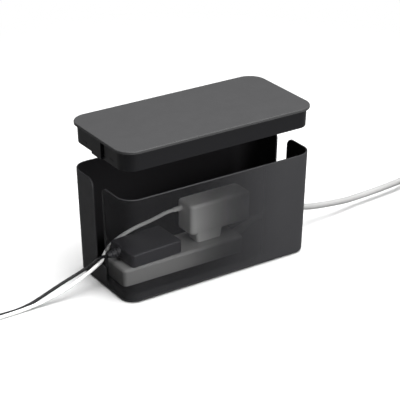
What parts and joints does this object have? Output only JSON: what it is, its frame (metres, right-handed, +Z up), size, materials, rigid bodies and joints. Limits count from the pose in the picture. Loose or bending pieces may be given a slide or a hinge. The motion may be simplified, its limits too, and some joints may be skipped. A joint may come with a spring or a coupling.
{
  "type": "cable management box",
  "caption": "Cable tidy tray with end slots and a lift-off lid, holding a power strip, a plug-in charger, an adapter and their leads.",
  "frame": {"origin": "middle of the tray at the height of the surface it stands on", "axes": "+X along the tray towards the mains lead, -Y towards the tray's front, +Z up"},
  "size_m": [0.7935, 0.1624, 0.176],
  "materials": {
    "tray_plastic": "fine satin texture",
    "lid_plastic": "fine satin texture",
    "foot_rubber": "matt",
    "strip_plastic": "satin",
    "charger_plastic": "gloss",
    "adapter_plastic": "fine spark texture",
    "mains_sheath": "satin PVC",
    "white_sheath": "satin",
    "black_sheath": "gloss PVC",
    "tie_strap": "hook and loop strap",
    "steel": "nickel plated",
    "brass": "stamped",
    "board": "solder mask",
    "ferrite": "sintered"
  },
  "bodies": {
    "tray": {"tray_body": "tray_plastic", "tray_feet": "foot_rubber", "strip_base": "strip_plastic", "strip_cover": "strip_plastic", "strip_screws": "steel", "live_busbar": "brass", "neutral_busbar": "brass", "ground_busbar": "brass", "strip_gland": "mains_sheath", "adapter_base": "adapter_plastic", "adapter_cover": "adapter_plastic", "adapter_inlet": "adapter_plastic", "adapter_inlet_pins": "steel", "adapter_board": "board", "adapter_transformer": "ferrite", "adapter_boot": "black_sheath", "mains_lead": "mains_sheath", "mains_lead_coil": "mains_sheath", "mains_lead_tail": "mains_sheath", "mains_lead_tie": "tie_strap", "mains_plug": "mains_sheath", "mains_plug_blades": "steel", "charger_cable": "white_sheath", "charger_cable_coil": "white_sheath", "charger_cable_tail": "white_sheath", "charger_cable_tie": "tie_strap", "charger_connector": "white_sheath", "charger_connector_shell": "steel", "dc_cord": "black_sheath", "dc_cord_coil": "black_sheath", "dc_cord_tail": "black_sheath", "dc_cord_tie": "tie_strap", "dc_plug": "black_sheath", "dc_plug_barrel": "steel"},
    "lid": {"lid": "lid_plastic"},
    "charger": {"charger_case": "charger_plastic", "charger_base": "charger_plastic", "charger_blades": "steel", "charger_board": "board", "charger_transformer": "ferrite", "charger_capacitors": "ferrite", "charger_boot": "white_sheath"}
  },
  "joints": [
    {"name": "lid_lift", "type": "slide", "parent": "tray", "child": "lid", "axis": [0, 0, 1], "range_m": [-0.0507, 0.04]},
    {"name": "charger_pull", "type": "slide", "parent": "tray", "child": "charger", "axis": [0, 0, 1], "range_m": [0, 0.018]}
  ]
}
